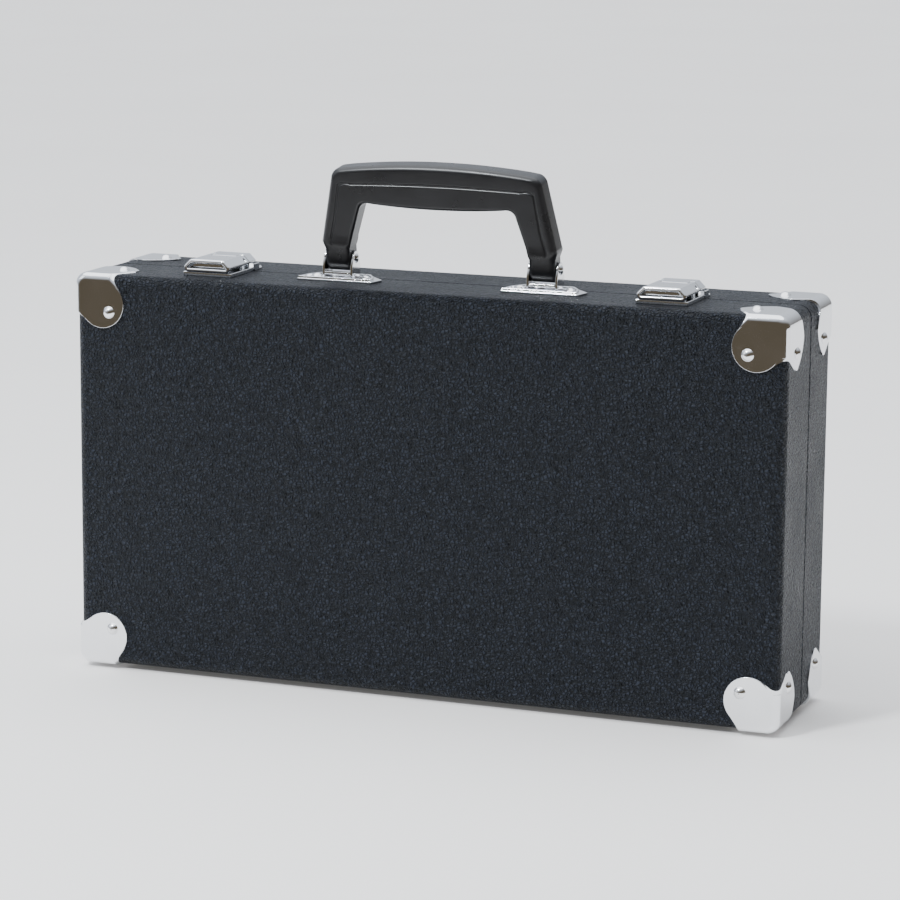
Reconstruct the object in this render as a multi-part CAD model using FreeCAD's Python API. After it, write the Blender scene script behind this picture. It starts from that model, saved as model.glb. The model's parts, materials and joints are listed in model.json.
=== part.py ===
"""Hard carrying case for effects pedals: two covered wooden shells, hinged along the bottom.

Frame, in millimetres: origin on the ground under the middle of the standing case, +X along the
length, +Z up, -Y out of the big face of the base shell. The lid shell is the one towards +Y.
"""
import FreeCAD
import Part
import math
import os

V = FreeCAD.Vector

# ---- driving dimensions -------------------------------------------------------------------
CASE_WIDTH = 450.0
CASE_HEIGHT = 244.5
BASE_DEPTH = 52.0
LID_DEPTH = 47.0
STAND_OFF = 3.0            # sheet metal plus rivet head: what the case stands on
EDGE_RADIUS = 6.5          # edges round the big faces
CORNER_RADIUS = 8.0        # the four edges that run through the depth of the case
SEAM_RADIUS = 1.2
SEAM_GAP = 0.3
COVERING = 0.8
BOARD = 6.0
PANEL = 5.0
CARPET = 3.0
FOAM = 8.0
LINING = 1.0
PAD_INSET = 1.5            # the carpet and the foam pad lie just inside the wall linings
LIP = 3.0                  # thickness of the alignment lip
LIP_REACH = 6.0            # how far the lip stands into the lid
LIP_ROOT = 20.0
LIP_CLEARANCE = 0.5

CORNER_SHEET = 0.9
CORNER_BEND = 3.6          # inside radius over the edge of the big face
CORNER_WRAP = 7.0          # inside radius round the corner of the case
BRIDGE = 23.7              # square part of a corner plate, from the corner
LOBE_CENTRE = (18.0, 18.2)
LOBE_RADIUS = 14.6
LEAF_TIP = 33.5
LEAF_MIDDLE = 19.5
LEAF_HALF = 14.5
FACE_RIVET = 22.9
LEAF_RIVET = 23.5

# Rivets: head radius, head height, shank radius, shank length.
RIVET_HEIGHT = STAND_OFF - CORNER_SHEET
CORNER_RIVET = (3.7, RIVET_HEIGHT, 1.6, 6.2)
HANDLE_RIVET = (3.4, RIVET_HEIGHT, 1.6, 6.0)
LATCH_RIVET = (2.2, 0.9, 1.2, 5.6)
KEEPER_RIVET = (3.0, 1.6, 1.4, 5.6)
HINGE_RIVET = (2.4, 1.1, 1.2, 5.0)
HOLE_CLEARANCE = 0.05

HANDLE_Y = -9.5
HANDLE_SPAN = 65.4         # half the distance between the two handle pivots
HANDLE_LEAN = 8.0          # degrees that the handle rests away from upright, towards -Y
PIVOT_RISE = 13.5
HANDLE_FOOT = PIVOT_RISE + 7.1   # where the legs widen, just past the clevis ears when folded
HANDLE_THICK = 16.0
HANDLE_ROUNDING = 2.4
HANDLE_PIN = 2.0
PIN_HEAD = 3.0
PIN_HEAD_HEIGHT = 1.4
CLEVIS_HALF = 6.4
EAR_RADIUS = 4.6
WEB = (3.9, 5.4)           # height of the strap's web under the grip's end
CLEVIS_GAP = 0.3           # between the grip's tab and each ear
CORE_HALF = 4.0            # half the width of the steel strip inside the grip
TAB_HALF = 8.0
TAB_RADIUS = 7.6
EAR_SHEET = 1.5
# Outlines of a handle plate, of its raised border and of the border's inside, right halves.
PLATE_OUTLINE = [(24.0, -12.0), (26.4, 0.0), (16.5, 11.25)]
BORDER_OUTLINE = [(23.4, -11.6), (21.0, 0.5), (15.2, 10.0)]
BORDER_INSIDE = [(21.9, -10.3), (19.6, 0.4), (14.3, 8.7)]
BORDER_TOP = 2.6
PLATE_RIVET = 15.75

LATCH_X = 144.5
LATCH_HALF = 16.0
LATCH_FRONT = -32.0
LEVER_PIVOT = (-3.0, 4.6)  # y, and height above the case top
CLAW_PIVOT = (-6.0, 7.6)
COVER_TOP = 10.2
COVER_FLAT = 10.75
COVER_HALF = 14.75
COVER_SHOULDER = 6.2
COVER_SKIRT = 5.0
COVER_SHEET = 1.0
PLATE_SHEET = 1.2
LATCH_PIN = 1.0
COVER_SPLIT = -2.0
CLAW_GAP = 0.6
CLAW_END = 8.0
LATCH_RIM = 1.1
LATCH_RIM_TOP = 2.6
LATCH_EYE = 2.1            # radius of the lever's eyes and of the plate's ears
FLANGE_X = (8.5, 9.5)      # the lever's side flanges
EAR_X = (9.8, 11.0)        # the plate's ears
TONGUE_HALF = 8.0
KEEPER_STRAIGHT = 13.0     # where the keeper's round end begins
LATCH_RIVETS = [(-9.5, -27.8), (9.5, -27.8), (-5.5, -13.0), (5.5, -13.0)]
KEEPER_RIVETS = [(-7.5, 16.5), (7.5, 16.5)]

HINGE_X = 140.0
HINGE_HALF = 20.0
HINGE_LEAF = 18.0
HINGE_SHEET = 1.2
KNUCKLE = 2.2
HINGE_PIN = 1.1
KNUCKLES = 5
HINGE_RIVET_Y = 12.0
HINGE_RIVET_X = (-14.0, 0.0, 14.0)
RUNNING = 0.05

# ---- places worked out from them ----------------------------------------------------------
HALF_W = CASE_WIDTH / 2
FRONT = -(BASE_DEPTH + LID_DEPTH) / 2
BACK = -FRONT
SEAM = FRONT + BASE_DEPTH
BOTTOM = STAND_OFF
TOP = STAND_OFF + CASE_HEIGHT
WALL = COVERING + BOARD
CAVITY_X = HALF_W - WALL
CAVITY_LOW = BOTTOM + WALL
CAVITY_HIGH = TOP - WALL
BASE_RIM = SEAM - SEAM_GAP / 2
LID_RIM = SEAM + SEAM_GAP / 2
HINGE_Z = BOTTOM


# ---- small helpers ------------------------------------------------------------------------
def box(x0, x1, y0, y1, z0, z1):
    """Box between two opposite corners, given axis by axis."""
    return Part.makeBox(x1 - x0, y1 - y0, z1 - z0, V(x0, y0, z0))


def cyl(radius, start, end):
    """Solid cylinder from one point to another."""
    axis = end - start
    return Part.makeCylinder(radius, axis.Length, start, axis)


def prism(edges, direction):
    """Closed wire of edges, swept in a straight line."""
    return Part.Face(Part.Wire(Part.__sortEdges__(edges))).extrude(direction)


def polygon(points, direction):
    """Straight-sided prism on a list of corner points."""
    return Part.Face(Part.makePolygon(points + [points[0]])).extrude(direction)


def line(a, b):
    return Part.LineSegment(a, b).toShape()


def arc(a, b, c):
    return Part.Arc(a, b, c).toShape()


def fuse(shapes):
    """Union of shapes as one clean solid."""
    whole = shapes[0]
    for shape in shapes[1:]:
        whole = whole.fuse(shape)
    return whole.removeSplitter()


def cut_all(shape, tools):
    for tool in tools:
        shape = shape.cut(tool)
    return shape


def mirror_x(shape):
    return shape.mirror(V(0, 0, 0), V(1, 0, 0))


def save(name, shape):
    """Write one node; groups of separate solids are written as a compound."""
    solids = shape.Solids
    out = solids[0] if len(solids) == 1 else Part.makeCompound(solids)
    out.exportStep("parts/" + name + ".step")


# ---- rivets -------------------------------------------------------------------------------
def rivet(position, normal, size):
    """Domed rivet: the head stands on position along normal and the shank runs back from it."""
    head, height, shank, length = size
    ball = (head ** 2 + height ** 2) / (2 * height)
    middle = math.asin(head / ball) / 2
    crown = V(ball * math.sin(middle), 0, height - ball + ball * math.cos(middle))
    edges = [
        line(V(0, 0, -length), V(0, 0, height)),
        arc(V(0, 0, height), crown, V(head, 0, 0)),
        line(V(head, 0, 0), V(shank, 0, 0)),
        line(V(shank, 0, 0), V(shank, 0, -length)),
        line(V(shank, 0, -length), V(0, 0, -length)),
    ]
    profile = Part.Face(Part.Wire(edges))
    solid = profile.revolve(V(0, 0, 0), V(0, 0, 1), 360)
    solid.Placement = FreeCAD.Placement(position, FreeCAD.Rotation(V(0, 0, 1), normal))
    return solid


def shank_hole(position, normal, size):
    """Space for a rivet's shank, a little wider and deeper than the shank."""
    shank, length = size[2:]
    start = position + normal * 0.5
    return cyl(shank + HOLE_CLEARANCE, start, position - normal * (length + 0.3))


def corner_rivet_places(face, inward):
    """Head seats of the twelve corner rivets of one shell: big face, top or bottom, and side."""
    places = []
    for sx in (-1, 1):
        for sz in (-1, 1):
            edge_z = TOP if sz > 0 else BOTTOM
            x_face = sx * (HALF_W - FACE_RIVET)
            z_face = edge_z - sz * FACE_RIVET
            places.append((V(x_face, face - inward * CORNER_SHEET, z_face), V(0, -inward, 0)))
            y_leaf = face + inward * LEAF_MIDDLE
            x_leaf = sx * (HALF_W - LEAF_RIVET)
            places.append((V(x_leaf, y_leaf, edge_z + sz * CORNER_SHEET), V(0, 0, sz)))
            z_leaf = edge_z - sz * LEAF_RIVET
            places.append((V(sx * (HALF_W + CORNER_SHEET), y_leaf, z_leaf), V(sx, 0, 0)))
    return places


# ---- shells -------------------------------------------------------------------------------
def edges_at_depth(shape, y):
    """Edges that lie in the plane at one depth."""
    return [edge for edge in shape.Edges
            if abs(edge.BoundBox.YMin - y) < 0.01 and abs(edge.BoundBox.YMax - y) < 0.01]


def rounded_shell_block(inset, face, rim, seam_radius):
    """Block that one shell fills, with round outer edges; inset shrinks it towards the wood."""
    y_face = face + (inset if face < rim else -inset)
    y_rim = rim + (-inset if face < rim else inset)
    block = box(-HALF_W + inset, HALF_W - inset, min(y_face, y_rim), max(y_face, y_rim),
                BOTTOM + inset, TOP - inset)
    through = [edge for edge in block.Edges if abs(edge.tangentAt(edge.FirstParameter).y) > 0.9]
    block = block.makeFillet(CORNER_RADIUS - inset, through)
    block = block.makeFillet(EDGE_RADIUS - inset, edges_at_depth(block, y_face))
    return block.makeFillet(seam_radius, edges_at_depth(block, y_rim))


def cavity(y0, y1, shrink=0.0):
    """Inside of the wooden frame between two depths."""
    return box(-CAVITY_X + shrink, CAVITY_X - shrink, y0, y1, CAVITY_LOW + shrink, CAVITY_HIGH - shrink)


def hinge_reliefs():
    """Groove that the hinge knuckles lie in, in both shells."""
    grooves = []
    for sx in (-1, 1):
        start = V(sx * HINGE_X - HINGE_HALF - 0.5, SEAM, HINGE_Z)
        grooves.append(cyl(KNUCKLE + 0.5, start, start + V(2 * HINGE_HALF + 1, 0, 0)))
    return grooves


def shell_parts(name, face, rim, holes):
    """The five boards and the covering of one shell."""
    inward = 1 if rim > face else -1
    wood = rounded_shell_block(COVERING, face, rim, SEAM_RADIUS - 0.4)
    panel_in = face + inward * (COVERING + PANEL)
    tools = holes + hinge_reliefs()
    low_y = min(panel_in, rim)
    high_y = max(panel_in, rim)
    slabs = {
        "panel": box(-HALF_W, HALF_W, min(face, panel_in), max(face, panel_in), BOTTOM, TOP),
        "top_board": box(-HALF_W, HALF_W, low_y, high_y, CAVITY_HIGH, TOP),
        "bottom_board": box(-HALF_W, HALF_W, low_y, high_y, BOTTOM, CAVITY_LOW),
        "left_board": box(-HALF_W, -CAVITY_X, low_y, high_y, CAVITY_LOW, CAVITY_HIGH),
        "right_board": box(CAVITY_X, HALF_W, low_y, high_y, CAVITY_LOW, CAVITY_HIGH),
    }
    for board, slab in slabs.items():
        save(name + "_" + board, cut_all(wood.common(slab), tools))
    skin = rounded_shell_block(0.0, face, rim, SEAM_RADIUS)
    skin = skin.cut(wood).cut(cavity(low_y, high_y))
    save(name + "_covering", cut_all(skin, tools))


def linings():
    """Alignment lip, hook-and-loop carpet, foam pad and wall linings."""
    base_in = FRONT + COVERING + PANEL
    lid_in = BACK - COVERING - PANEL
    lip_start = SEAM - LIP_ROOT
    lip_end = SEAM + LIP_REACH
    glued = cavity(lip_start, BASE_RIM).cut(cavity(lip_start, BASE_RIM, LIP))
    free = cavity(BASE_RIM, lip_end, LIP_CLEARANCE).cut(cavity(BASE_RIM, lip_end, LIP))
    save("base_lip", fuse([glued, free]))
    save("base_carpet", cavity(base_in, base_in + CARPET, PAD_INSET))
    lining = cavity(base_in, lip_start)
    save("base_wall_lining", lining.cut(cavity(base_in, lip_start, LINING)))
    save("lid_foam_pad", cavity(lid_in - FOAM, lid_in, PAD_INSET))
    lining = cavity(lip_end + 1.0, lid_in)
    save("lid_wall_lining", lining.cut(cavity(lip_end + 1.0, lid_in, LINING)))


# ---- corner plates ------------------------------------------------------------------------
def leaf_outline():
    """Edges of a leaf lobe: first coordinate from the corner, second from the big face."""
    out = -CORNER_SHEET - 0.5
    far = LEAF_MIDDLE + LEAF_HALF
    ogive_start = 11.0
    run = LEAF_TIP - ogive_start
    radius = (run ** 2 + LEAF_HALF ** 2) / (2 * LEAF_HALF)
    drop = radius - LEAF_HALF

    def side(along, sign):
        return LEAF_MIDDLE + sign * (math.sqrt(radius ** 2 - (along - ogive_start) ** 2) - drop)

    tip_back = LEAF_TIP - 1.2
    neck = Part.BSplineCurve()
    neck.interpolate([V(out, far - 6.2), V(4.0, far - 5.4), V(10.0, far - 1.9), V(16.0, side(16.0, 1))])
    middle = (16.0 + tip_back) / 2
    near = (BRIDGE + tip_back) / 2
    return [
        neck.toShape(),
        arc(V(16.0, side(16.0, 1)), V(middle, side(middle, 1)), V(tip_back, side(tip_back, 1))),
        arc(V(tip_back, side(tip_back, 1)), V(LEAF_TIP, LEAF_MIDDLE), V(tip_back, side(tip_back, -1))),
        arc(V(tip_back, side(tip_back, -1)), V(near, side(near, -1)), V(BRIDGE, side(BRIDGE, -1))),
        line(V(BRIDGE, side(BRIDGE, -1)), V(BRIDGE, out)),
        line(V(BRIDGE, out), V(out, out)),
        line(V(out, out), V(out, far - 6.2)),
    ]


def corner_plate():
    """Pressed corner plate with its corner at the origin and the case towards +X, +Y, +Z."""
    reach = LEAF_TIP + 5.0
    out = -CORNER_SHEET
    depth = 7.0

    def bent(at, far, bend, wrap):
        """Block with its three edges at the corner rounded: the one along Y first."""
        block = box(at, far, at, far, at, far)
        along_y = [edge for edge in block.Edges
                   if abs(edge.CenterOfMass.x - at) < 0.01 and abs(edge.CenterOfMass.z - at) < 0.01]
        block = block.makeFillet(wrap, along_y)
        face_edges = [edge for edge in edges_at_depth(block, at)
                      if edge.CenterOfMass.x < far - 0.01 and edge.CenterOfMass.z < far - 0.01]
        return block.makeFillet(bend, face_edges)

    outer = bent(out, reach, CORNER_BEND + CORNER_SHEET, CORNER_WRAP + CORNER_SHEET)
    inner = bent(0.0, reach + 1, CORNER_BEND, CORNER_WRAP)
    sheet = outer.cut(inner)
    # The big-face lobe lies in X-Z, the other two are the same leaf in X-Y and in Z-Y.
    low = out - 0.5
    lobe = cyl(LOBE_RADIUS, V(LOBE_CENTRE[0], low, LOBE_CENTRE[1]), V(LOBE_CENTRE[0], depth, LOBE_CENTRE[1]))
    square = box(low, BRIDGE, low, depth, low, BRIDGE)
    leaf = prism(leaf_outline(), V(0, 0, depth - low))
    top_leaf = leaf.copy()
    top_leaf.translate(V(0, 0, low))
    side_leaf = leaf.copy()
    side_leaf.rotate(V(0, 0, 0), V(0, 1, 0), -90)
    side_leaf = side_leaf.mirror(V(0, 0, 0), V(1, 0, 0))
    side_leaf.translate(V(low, 0, 0))
    blank = fuse([lobe, square, top_leaf, side_leaf])
    plate = sheet.common(blank)
    seats = [
        (V(FACE_RIVET, out, FACE_RIVET), V(0, -1, 0)),
        (V(LEAF_RIVET, LEAF_MIDDLE, out), V(0, 0, -1)),
        (V(out, LEAF_MIDDLE, LEAF_RIVET), V(-1, 0, 0)),
    ]
    return cut_all(plate, [shank_hole(position, normal, CORNER_RIVET) for position, normal in seats])


def corner_parts():
    """Eight corner plates, mirrored into their places, and the rivets of each shell."""
    plate = corner_plate()
    for shell, face, inward in (("base", FRONT, 1), ("lid", BACK, -1)):
        for height, edge_z, sz in (("bottom", BOTTOM, 1), ("top", TOP, -1)):
            for side, sx in (("left", 1), ("right", -1)):
                piece = plate.copy()
                if sx < 0:
                    piece = piece.mirror(V(0, 0, 0), V(1, 0, 0))
                if inward < 0:
                    piece = piece.mirror(V(0, 0, 0), V(0, 1, 0))
                if sz < 0:
                    piece = piece.mirror(V(0, 0, 0), V(0, 0, 1))
                piece.translate(V(-sx * HALF_W, face, edge_z))
                save("corner_" + shell + "_" + height + "_" + side, piece)
        rivets = [rivet(*place, CORNER_RIVET) for place in corner_rivet_places(face, inward)]
        save("corner_rivets_" + shell, Part.makeCompound(rivets))


# ---- handle -------------------------------------------------------------------------------
def handle_blank():
    """Flat blank of the grip: arched top, splayed legs and an arched finger opening."""
    half = HANDLE_THICK / 2
    corner, hip, foot = (66.0, 70.0), (75.0, 25.0), (HANDLE_SPAN + TAB_HALF, HANDLE_FOOT)
    inner_foot, crotch = (HANDLE_SPAN - TAB_HALF, HANDLE_FOOT), (48.5, 50.0)
    crown, belly = 74.5, 47.5
    right = [line(V(a[0], -half, a[1]), V(b[0], -half, b[1]))
             for a, b in ((corner, hip), (hip, foot), (foot, inner_foot), (inner_foot, crotch))]
    left = [mirror_x(edge) for edge in right]
    top = arc(V(-corner[0], -half, corner[1]), V(0, -half, crown), V(corner[0], -half, corner[1]))
    under = arc(V(-crotch[0], -half, crotch[1]), V(0, -half, belly), V(crotch[0], -half, crotch[1]))
    blank = prism(right + left + [top, under], V(0, HANDLE_THICK, 0))
    for place, radius in ((corner, 6.0), (crotch, 5.0)):
        across = [edge for edge in blank.Edges
                  if abs(edge.CenterOfMass.y) < 0.01 and abs(abs(edge.CenterOfMass.x) - place[0]) < 0.01
                  and abs(edge.CenterOfMass.z - place[1]) < 0.01]
        blank = blank.makeFillet(radius, across)
    rim = [edge for edge in blank.Edges
           if abs(abs(edge.CenterOfMass.y) - half) < 0.01 and edge.BoundBox.ZMax > hip[1] + 1]
    return blank.makeFillet(HANDLE_ROUNDING, rim)


def handle_parts():
    """Moulded grip on a steel core, two clevises on plates, and their pins and rivets."""
    pieces = [handle_blank()]
    for sx in (-1, 1):
        x0 = sx * HANDLE_SPAN
        start = V(x0 - TAB_HALF, 0, PIVOT_RISE)
        pieces.append(cyl(TAB_RADIUS, start, start + V(2 * TAB_HALF, 0, 0)))
        pieces.append(box(x0 - TAB_HALF, x0 + TAB_HALF, -TAB_RADIUS, TAB_RADIUS, PIVOT_RISE, 24.0))
    grip = fuse(pieces)

    outside = [(66.5, 9.5), (66.5, 28.2), (59.0, 60.5), (0.0, 63.5)]
    inside = [(0.0, 61.5), (57.3, 58.5), (64.5, 28.0), (64.5, 9.5)]
    loop = outside + [(-x, z) for x, z in outside[-2::-1]]
    loop += [(-x, z) for x, z in inside[::-1]] + inside[1:]
    core = polygon([V(x, -CORE_HALF, z) for x, z in loop], V(0, 2 * CORE_HALF, 0))
    grip = grip.cut(core)
    for sx in (-1, 1):
        start = V(sx * HANDLE_SPAN - TAB_HALF - 1, 0, PIVOT_RISE)
        bore = cyl(HANDLE_PIN + RUNNING, start, start + V(2 * TAB_HALF + 2, 0, 0))
        grip = grip.cut(bore)
        core = core.cut(bore)
    for name, shape in (("handle_grip", grip), ("handle_core", core)):
        shape.rotate(V(0, 0, PIVOT_RISE), V(1, 0, 0), HANDLE_LEAN)
        shape.translate(V(0, HANDLE_Y, TOP))
        save(name, shape)

    rivets = []
    for side, sx in (("left", -1), ("right", 1)):
        middle = V(sx * HANDLE_SPAN, HANDLE_Y, TOP)
        for name, shape in (("clevis", clevis()), ("plate", handle_plate()), ("pin", handle_pin())):
            shape.translate(middle)
            save("handle_" + name + "_" + side, shape)
        for end in (-1, 1):
            seat = middle + V(end * PLATE_RIVET, 0, PLATE_SHEET)
            rivets.append(rivet(seat, V(0, 0, 1), HANDLE_RIVET))
    save("handle_rivets", Part.makeCompound(rivets))


def handle_rivet_holes():
    holes = []
    for sx in (-1, 1):
        for end in (-1, 1):
            seat = V(sx * HANDLE_SPAN + end * PLATE_RIVET, HANDLE_Y, TOP + PLATE_SHEET)
            holes.append(shank_hole(seat, V(0, 0, 1), HANDLE_RIVET))
    return holes


def clevis():
    """Bent strap: two round-topped ears for the pin, joined by a web under the grip's end."""
    inside = TAB_HALF + CLEVIS_GAP
    outside = inside + EAR_SHEET
    half = CLEVIS_HALF
    pieces = [box(-outside, outside, -half, half, *WEB)]
    shoulder = PIVOT_RISE - EAR_RADIUS
    ear = [(-half, PLATE_SHEET), (half, PLATE_SHEET), (half, shoulder), (EAR_RADIUS, PIVOT_RISE),
           (-EAR_RADIUS, PIVOT_RISE), (-half, shoulder)]
    for sx in (-1, 1):
        x0 = min(sx * inside, sx * outside)
        pieces.append(polygon([V(x0, y, z) for y, z in ear], V(EAR_SHEET, 0, 0)))
        start = V(x0, 0, PIVOT_RISE)
        pieces.append(cyl(EAR_RADIUS, start, start + V(EAR_SHEET, 0, 0)))
    strap = fuse(pieces)
    bore = cyl(HANDLE_PIN + RUNNING, V(-outside - 1, 0, PIVOT_RISE), V(outside + 1, 0, PIVOT_RISE))
    return strap.cut(bore)


def handle_pin():
    """Riveted pin: a shaft with a domed head outside each ear."""
    reach = TAB_HALF + CLEVIS_GAP + EAR_SHEET
    shaft = cyl(HANDLE_PIN, V(-reach, 0, PIVOT_RISE), V(reach, 0, PIVOT_RISE))
    pieces = [shaft]
    for sx in (-1, 1):
        size = (PIN_HEAD, PIN_HEAD_HEIGHT, HANDLE_PIN, 1.0)
        pieces.append(rivet(V(sx * reach, 0, PIVOT_RISE), V(sx, 0, 0), size))
    return fuse(pieces)


def both_halves(right):
    """Outline from its right half, which runs from the near side to the far side."""
    return right + [(-x, y) for x, y in right[::-1]]


def handle_plate():
    """Plate with pointed ends and a raised border, under one end of the handle."""
    flat = [V(x, y, 0) for x, y in both_halves(PLATE_OUTLINE)]
    rim_out = [V(x, y, 0) for x, y in both_halves(BORDER_OUTLINE)]
    rim_in = [V(x, y, PLATE_SHEET) for x, y in both_halves(BORDER_INSIDE)]
    plate = polygon(flat, V(0, 0, PLATE_SHEET))
    border = polygon(rim_out, V(0, 0, BORDER_TOP)).cut(polygon(rim_in, V(0, 0, BORDER_TOP)))
    plate = fuse([plate, border])
    seats = [V(end * PLATE_RIVET, 0, PLATE_SHEET) for end in (-1, 1)]
    return cut_all(plate, [shank_hole(seat, V(0, 0, 1), HANDLE_RIVET) for seat in seats])


# ---- latches ------------------------------------------------------------------------------
def cover_section(y0, y1, inset=0.0):
    """Solid with the bevelled cross-section of the latch cover; inset gives its inside."""
    low = COVER_SKIRT - (1.0 if inset else 0.0)
    half = COVER_HALF - inset
    flat = COVER_FLAT - 0.41 * inset
    points = [(-half, low), (-half, COVER_SHOULDER - 0.41 * inset), (-flat, COVER_TOP - inset),
              (flat, COVER_TOP - inset), (half, COVER_SHOULDER - 0.41 * inset), (half, low)]
    return polygon([V(x, y0, z) for x, z in points], V(0, y1 - y0, 0))


def latch_lever():
    """Finger lever: a bevelled cover with two side flanges that carry both pins."""
    front = LATCH_FRONT - 0.5
    shell = cover_section(front, COVER_SPLIT).cut(cover_section(front - 1, COVER_SPLIT + 1, COVER_SHEET))
    notch_half = TONGUE_HALF + 0.3
    notch_front = CLAW_PIVOT[0] - 2.8
    shell = shell.cut(box(-notch_half, notch_half, notch_front, COVER_SPLIT + 1, 8.0, 12.0))
    pieces = [shell]
    eye = LATCH_EYE
    width = FLANGE_X[1] - FLANGE_X[0]
    step = V(width, 0, 0)
    for x0 in (-FLANGE_X[1], FLANGE_X[0]):
        lever_eye = V(x0, LEVER_PIVOT[0], LEVER_PIVOT[1])
        claw_eye = V(x0, CLAW_PIVOT[0], CLAW_PIVOT[1])
        pieces.append(cyl(eye, lever_eye, lever_eye + step))
        pieces.append(cyl(eye, claw_eye, claw_eye + step))
        across = V(0, eye * math.sqrt(0.5), eye * math.sqrt(0.5))
        link = [lever_eye + across, claw_eye + across, claw_eye - across, lever_eye - across]
        pieces.append(polygon(link, step))
        web_top = COVER_TOP - COVER_SHEET / 2
        pieces.append(box(x0, x0 + width, CLAW_PIVOT[0] - 3.0, CLAW_PIVOT[0] + 2.0, CLAW_PIVOT[1], web_top))
    lever = fuse(pieces)
    for y, z in (LEVER_PIVOT, CLAW_PIVOT):
        lever = lever.cut(cyl(LATCH_PIN + RUNNING, V(-20, y, z), V(20, y, z)))
    return lever


def latch_claw():
    """Claw plate: rolled eye on the claw pin, bevelled plate over the seam, and a hooked end."""
    y, z = CLAW_PIVOT
    start = COVER_SPLIT + CLAW_GAP
    shell = cover_section(start, CLAW_END).cut(cover_section(start - 1, CLAW_END - 1.0, COVER_SHEET))
    eye_radius = COVER_TOP - z
    eye = cyl(eye_radius, V(-TONGUE_HALF, y, z), V(TONGUE_HALF, y, z))
    tongue = box(-TONGUE_HALF, TONGUE_HALF, y, start + 1.0, COVER_TOP - COVER_SHEET, COVER_TOP)
    hook = box(-10.0, 10.0, CLAW_END - 1.0, CLAW_END, LATCH_RIM_TOP, COVER_SHOULDER)
    claw = fuse([shell, eye, tongue, hook])
    return claw.cut(cyl(LATCH_PIN + RUNNING, V(-20, y, z), V(20, y, z)))


def latch_plate():
    """Base plate with an upturned rim, ears for the lever pin and a detent bar."""
    end = SEAM - 0.9
    pieces = [box(-LATCH_HALF, LATCH_HALF, LATCH_FRONT, end, 0, PLATE_SHEET),
              box(-LATCH_HALF, LATCH_HALF, LATCH_FRONT, LATCH_FRONT + LATCH_RIM, PLATE_SHEET, LATCH_RIM_TOP),
              box(-9.0, 9.0, -25.0, -23.6, PLATE_SHEET, 3.8)]
    y, z = LEVER_PIVOT
    for sx in (-1, 1):
        side = min(sx * LATCH_HALF, sx * (LATCH_HALF - LATCH_RIM))
        pieces.append(box(side, side + LATCH_RIM, LATCH_FRONT, end, PLATE_SHEET, LATCH_RIM_TOP))
        low, high = sorted((sx * EAR_X[0], sx * EAR_X[1]))
        pieces.append(box(low, high, y - LATCH_EYE, y + LATCH_EYE, PLATE_SHEET, z))
        pieces.append(cyl(LATCH_EYE, V(low, y, z), V(high, y, z)))
    plate = fuse(pieces)
    plate = plate.cut(cyl(LATCH_PIN + RUNNING, V(-20, y, z), V(20, y, z)))
    holes = [shank_hole(V(*place, PLATE_SHEET), V(0, 0, 1), LATCH_RIVET) for place in LATCH_RIVETS]
    return cut_all(plate, holes)


def latch_keeper():
    """Keeper on the lid: a round-ended plate with a ridge for the claw and two side cheeks."""
    start = SEAM + 0.7
    tip = SEAM + 23.5
    edges = [
        line(V(-LATCH_HALF, start, 0), V(LATCH_HALF, start, 0)),
        line(V(LATCH_HALF, start, 0), V(LATCH_HALF, KEEPER_STRAIGHT, 0)),
        arc(V(LATCH_HALF, KEEPER_STRAIGHT, 0), V(0, tip, 0), V(-LATCH_HALF, KEEPER_STRAIGHT, 0)),
        line(V(-LATCH_HALF, KEEPER_STRAIGHT, 0), V(-LATCH_HALF, start, 0)),
    ]
    pieces = [prism(edges, V(0, 0, PLATE_SHEET)), box(-11.0, 11.0, 5.4, 6.6, PLATE_SHEET, 4.2)]
    for sx in (-1, 1):
        side = min(sx * LATCH_HALF, sx * (LATCH_HALF - 1.0))
        pieces.append(box(side, side + 1.0, start, 10.5, PLATE_SHEET, 4.4))
    keeper = fuse(pieces)
    holes = [shank_hole(V(*place, PLATE_SHEET), V(0, 0, 1), KEEPER_RIVET) for place in KEEPER_RIVETS]
    return cut_all(keeper, holes)


def latch_parts():
    """Both latches: plate, lever, claw, two pins and keeper, and the rivets of all of them."""
    plate_rivets = []
    keeper_rivets = []
    for side, sx in (("left", -1), ("right", 1)):
        middle = V(sx * LATCH_X, 0, TOP)
        pins = {}
        for pin, place, reach in (("lever_pin", LEVER_PIVOT, 11.6), ("claw_pin", CLAW_PIVOT, 9.5)):
            pins[pin] = cyl(LATCH_PIN, V(-reach, *place), V(reach, *place))
        pieces = {"plate": latch_plate(), "lever": latch_lever(), "claw": latch_claw(),
                  "keeper": latch_keeper(), **pins}
        for name, shape in pieces.items():
            shape.translate(middle)
            save("latch_" + side + "_" + name, shape)
        for x, y in LATCH_RIVETS:
            plate_rivets.append(rivet(middle + V(x, y, PLATE_SHEET), V(0, 0, 1), LATCH_RIVET))
        for x, y in KEEPER_RIVETS:
            keeper_rivets.append(rivet(middle + V(x, y, PLATE_SHEET), V(0, 0, 1), KEEPER_RIVET))
    save("latch_rivets", Part.makeCompound(plate_rivets))
    save("keeper_rivets", Part.makeCompound(keeper_rivets))


def latch_rivet_holes(places, size):
    holes = []
    for sx in (-1, 1):
        for x, y in places:
            seat = V(sx * LATCH_X + x, y, TOP + PLATE_SHEET)
            holes.append(shank_hole(seat, V(0, 0, 1), size))
    return holes


# ---- hinges -------------------------------------------------------------------------------
def hinge_rivet_places(sx, side):
    """Head seats on one hinge leaf; side is -1 for the base leaf and 1 for the lid leaf."""
    z = HINGE_Z - HINGE_SHEET
    return [V(sx * HINGE_X + dx, SEAM + side * HINGE_RIVET_Y, z) for dx in HINGE_RIVET_X]


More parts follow.
